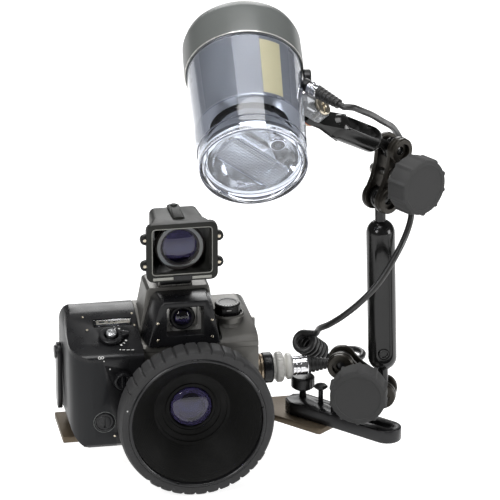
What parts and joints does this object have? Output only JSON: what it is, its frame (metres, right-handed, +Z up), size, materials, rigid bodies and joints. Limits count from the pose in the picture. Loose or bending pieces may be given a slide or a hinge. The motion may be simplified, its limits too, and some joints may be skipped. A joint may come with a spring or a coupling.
{
  "type": "underwater camera",
  "caption": "Compact film camera for diving with a wide conversion lens, optical finder, tray, ball-jointed arm, strobe and sync cord.",
  "frame": {"origin": "underside of the tray, straight below the lens axis", "axes": "+Z up, the lens looks along -Y, +X to the viewer's right, where the strobe arm stands"},
  "size_m": [0.3292, 0.2038, 0.4319],
  "materials": {
    "gunmetal": "satin grey enamel over a casting",
    "black_shell": "fine satin moulding",
    "satin_black": "satin black anodised",
    "knob_rubber": "matt grey rubber",
    "ring_rubber": "ribbed dark rubber",
    "hood_black": "flat black",
    "optical_glass": "coated glass",
    "clear_plastic": "clear polycarbonate",
    "chrome": "polished",
    "steel": "brushed",
    "white_nylon": "off-white",
    "tray_alloy": "brown-grey anodised",
    "cap_grey": "satin grey",
    "liner_grey": "grey-blue label film",
    "mirror_silver": "bright",
    "cord_black": "smooth black jacket"
  },
  "bodies": {
    "camera": {"body_shell": "gunmetal", "top_cover": "gunmetal", "grip_cover": "black_shell", "viewfinder_block": "satin_black", "viewfinder_lens": "chrome", "eyepiece": "optical_glass", "counter_window": "optical_glass", "camera_lens": "optical_glass", "shutter_blades": "steel", "battery_cell": "steel", "hinge_pin": "steel", "accessory_shoe": "steel", "sync_socket": "chrome", "sync_relief": "cord_black", "base_tray": "tray_alloy", "camera_screw": "steel", "base_bar": "satin_black", "ball_post": "satin_black", "cord_lower": "cord_black", "cord_coil": "cord_black", "cord_upper": "cord_black"},
    "shutter_button": {"shutter_button": "chrome"},
    "power_lever": {"power_lever": "satin_black"},
    "focus_knob": {"focus_knob": "satin_black"},
    "battery_cap": {"battery_cap": "satin_black"},
    "aperture_dial": {"aperture_dial": "satin_black"},
    "back_door": {"back_door": "gunmetal", "pressure_plate": "satin_black"},
    "back_latch": {"back_latch": "satin_black"},
    "conversion_lens": {"lens_barrel": "satin_black", "lens_grip_ring": "ring_rubber", "lens_hood": "hood_black", "lens_front_element": "optical_glass", "lens_retaining_ring": "satin_black"},
    "optical_finder": {"finder_housing": "black_shell", "finder_frame": "black_shell", "finder_lens": "optical_glass", "finder_foot": "satin_black"},
    "takeup_spool": {"takeup_spool": "satin_black"},
    "bar_thumb_screw": {"bar_thumb_screw": "satin_black"},
    "bar_lock_screw": {"bar_lock_screw": "satin_black"},
    "lower_clamp": {"lower_clamp_back": "satin_black", "lower_clamp_front": "satin_black"},
    "lower_clamp_knob": {"lower_clamp_knob": "knob_rubber"},
    "long_arm": {"long_arm": "satin_black"},
    "upper_clamp": {"upper_clamp_back": "satin_black", "upper_clamp_front": "satin_black"},
    "upper_clamp_knob": {"upper_clamp_knob": "knob_rubber"},
    "short_arm": {"short_arm": "satin_black", "strobe_pivot_bolt": "steel"},
    "strobe": {"strobe_housing": "clear_plastic", "strobe_liner": "liner_grey", "strobe_reflector": "mirror_silver", "strobe_diffuser": "clear_plastic", "strobe_sensor": "chrome", "strobe_plug": "cord_black"},
    "strobe_cap": {"strobe_cap": "cap_grey"},
    "strobe_dial": {"strobe_dial": "satin_black"},
    "sync_nut": {"sync_plug": "white_nylon", "sync_coupling": "chrome"}
  },
  "joints": [
    {"name": "shutter_press", "type": "slide", "parent": "camera", "child": "shutter_button", "axis": [0, 0.2873, -0.9578], "range_m": [0, 0.0012], "stiffness_N_per_m": 600},
    {"name": "power_lever_turn", "type": "hinge", "parent": "camera", "child": "power_lever", "pos_m": [-0.066, -0.036, 0.1021], "axis": [0, -0.2873, 0.9578], "range_deg": [0, 40]},
    {"name": "focus_turn", "type": "hinge", "parent": "camera", "child": "focus_knob", "pos_m": [-0.06, -0.062, 0.072], "axis": [0, -1, 0], "range_deg": [-135, 135]},
    {"name": "battery_cap_turn", "type": "hinge", "parent": "camera", "child": "battery_cap", "pos_m": [-0.076, -0.06, 0.033], "axis": [0, 1, 0], "range_deg": [0, 90]},
    {"name": "aperture_turn", "type": "hinge", "parent": "camera", "child": "aperture_dial", "pos_m": [0.0388, -0.02, 0.115], "axis": [0, 0, 1], "range_deg": [-120, 120]},
    {"name": "back_door_open", "type": "hinge", "parent": "camera", "child": "back_door", "pos_m": [0.0662, 0.0205, 0.0555], "axis": [0, 0, -1], "range_deg": [0, 110]},
    {"name": "back_latch_swing", "type": "hinge", "parent": "camera", "child": "back_latch", "pos_m": [-0.1064, 0.006, 0.074], "axis": [-1, 0, 0], "range_deg": [0, 75]},
    {"name": "lens_bayonet_turn", "type": "hinge", "parent": "camera", "child": "conversion_lens", "pos_m": [0, -0.075, 0.041], "axis": [0, -1, 0], "range_deg": [0, 50]},
    {"name": "finder_slide", "type": "slide", "parent": "camera", "child": "optical_finder", "axis": [0, 1, 0], "range_m": [0, 0.018]},
    {"name": "takeup_spin", "type": "hinge", "parent": "camera", "child": "takeup_spool", "pos_m": [-0.071, 0.0045, 0.041], "axis": [0, 0, 1], "continuous": true},
    {"name": "bar_thumb_screw_turn", "type": "hinge", "parent": "camera", "child": "bar_thumb_screw", "pos_m": [0.10919, -0.00231, 0.03], "axis": [0, 0, 1], "continuous": true},
    {"name": "bar_lock_screw_turn", "type": "hinge", "parent": "camera", "child": "bar_lock_screw", "pos_m": [0.12198, -0.0197, 0.03], "axis": [0, 0, 1], "continuous": true},
    {"name": "lower_clamp_swing", "type": "hinge", "parent": "camera", "child": "lower_clamp", "pos_m": [0.1366, -0.0392, 0.0654], "axis": [0.2739, 0.9617, 0], "range_deg": [-10, 14], "deforming": ["cord_upper"]},
    {"name": "lower_knob_turn", "type": "hinge", "parent": "lower_clamp", "child": "lower_clamp_knob", "pos_m": [0.1541, -0.0442, 0.0524], "axis": [-0.2739, -0.9617, 0], "continuous": true},
    {"name": "long_arm_swing", "type": "hinge", "parent": "lower_clamp", "child": "long_arm", "pos_m": [0.1716, -0.0492, 0.0394], "axis": [0.2739, 0.9617, 0], "range_deg": [-15, 35], "deforming": ["cord_upper"]},
    {"name": "upper_clamp_swing", "type": "hinge", "parent": "long_arm", "child": "upper_clamp", "pos_m": [0.1671, -0.0492, 0.2214], "axis": [0.5082, -0.8613, 0], "range_deg": [-45, 30], "deforming": ["cord_upper"]},
    {"name": "upper_knob_turn", "type": "hinge", "parent": "upper_clamp", "child": "upper_clamp_knob", "pos_m": [0.1729, -0.0458, 0.2424], "axis": [0.5082, -0.8613, 0], "continuous": true},
    {"name": "short_arm_swing", "type": "hinge", "parent": "upper_clamp", "child": "short_arm", "pos_m": [0.1786, -0.0422, 0.2634], "axis": [0.5082, -0.8613, 0], "range_deg": [-45, 30], "deforming": ["cord_upper"]},
    {"name": "strobe_tilt", "type": "hinge", "parent": "short_arm", "child": "strobe", "pos_m": [0.10449, -0.08691, 0.31843], "axis": [0.6248, -0.3861, 0.6786], "range_deg": [-30, 30], "deforming": ["cord_upper"]},
    {"name": "strobe_cap_turn", "type": "hinge", "parent": "strobe", "child": "strobe_cap", "pos_m": [0.04889, -0.03758, 0.35382], "axis": [0.083, 0.8971, 0.434], "continuous": true},
    {"name": "strobe_dial_turn", "type": "hinge", "parent": "strobe", "child": "strobe_dial", "pos_m": [0.0963, -0.06784, 0.34141], "axis": [0.9957, -0.0921, 0], "range_deg": [-120, 120]},
    {"name": "sync_nut_turn", "type": "hinge", "parent": "camera", "child": "sync_nut", "pos_m": [0.09, -0.015, 0.054], "axis": [1, 0, 0], "continuous": true}
  ]
}
